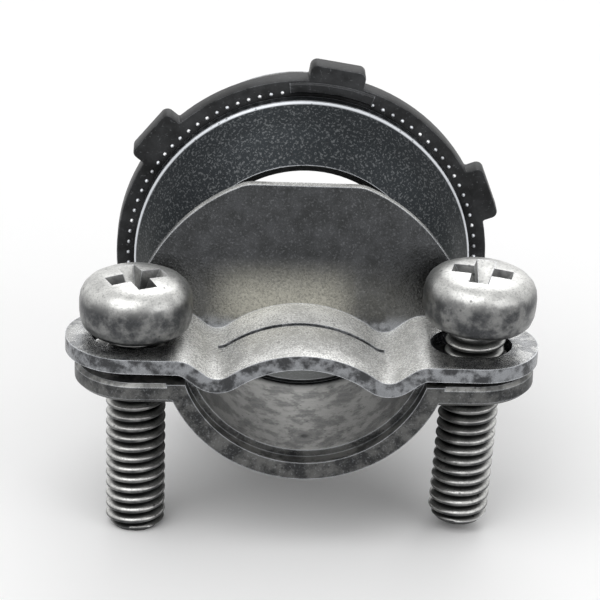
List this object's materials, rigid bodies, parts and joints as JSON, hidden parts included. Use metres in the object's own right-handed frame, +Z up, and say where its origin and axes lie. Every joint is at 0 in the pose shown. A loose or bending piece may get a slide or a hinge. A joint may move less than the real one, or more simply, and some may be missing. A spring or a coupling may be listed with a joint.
{
  "type": "two-screw cable clamp connector",
  "caption": "Cast cable connector with a threaded nipple, flange and locknut, and a saddle strap with an upright shield drawn down by screws over a half-round jaw.",
  "frame": {"origin": "on the bore axis, in the plane of the flange's seat face", "axes": "+Y along the bore from the clamp towards the nipple's end, +Z up towards the screw heads, +X to the right seen from the clamp end"},
  "size_m": [0.0328, 0.0269, 0.0299],
  "materials": {
    "body_zinc": "die-cast zinc alloy, dull and mottled",
    "strap_zinc": "zinc, satin with bright edges",
    "locknut_steel": "dark plated steel",
    "screw_steel": "bright zinc-plated steel"
  },
  "bodies": {
    "connector_body": {"connector_body": "body_zinc"},
    "clamp_strap": {"clamp_strap": "strap_zinc"},
    "locknut": {"locknut": "locknut_steel"},
    "left_screw": {"left_screw": "screw_steel"},
    "right_screw": {"right_screw": "screw_steel"}
  },
  "joints": [
    {"name": "strap_lift", "type": "slide", "parent": "connector_body", "child": "clamp_strap", "axis": [0, 0, 1], "range_m": [-0.0002, 0.004]},
    {"name": "left_screw_turn", "type": "hinge", "parent": "clamp_strap", "child": "left_screw", "pos_m": [-0.0117, -0.0121, -0.0036], "axis": [0, 0, 1], "range_deg": [-95, 1820]},
    {"name": "right_screw_turn", "type": "hinge", "parent": "clamp_strap", "child": "right_screw", "pos_m": [0.0117, -0.0121, -0.0036], "axis": [0.0523, 0, 0.9986], "range_deg": [-95, 1820]},
    {"name": "locknut_turn", "type": "hinge", "parent": "connector_body", "child": "locknut", "pos_m": [0, 0.0018, 0], "axis": [0, 1, 0], "continuous": true}
  ],
  "couplings": [
    {"joint": "left_screw_turn", "follows": "strap_lift", "rad_per_m": 7913.4},
    {"joint": "right_screw_turn", "follows": "strap_lift", "rad_per_m": 7913.4}
  ]
}
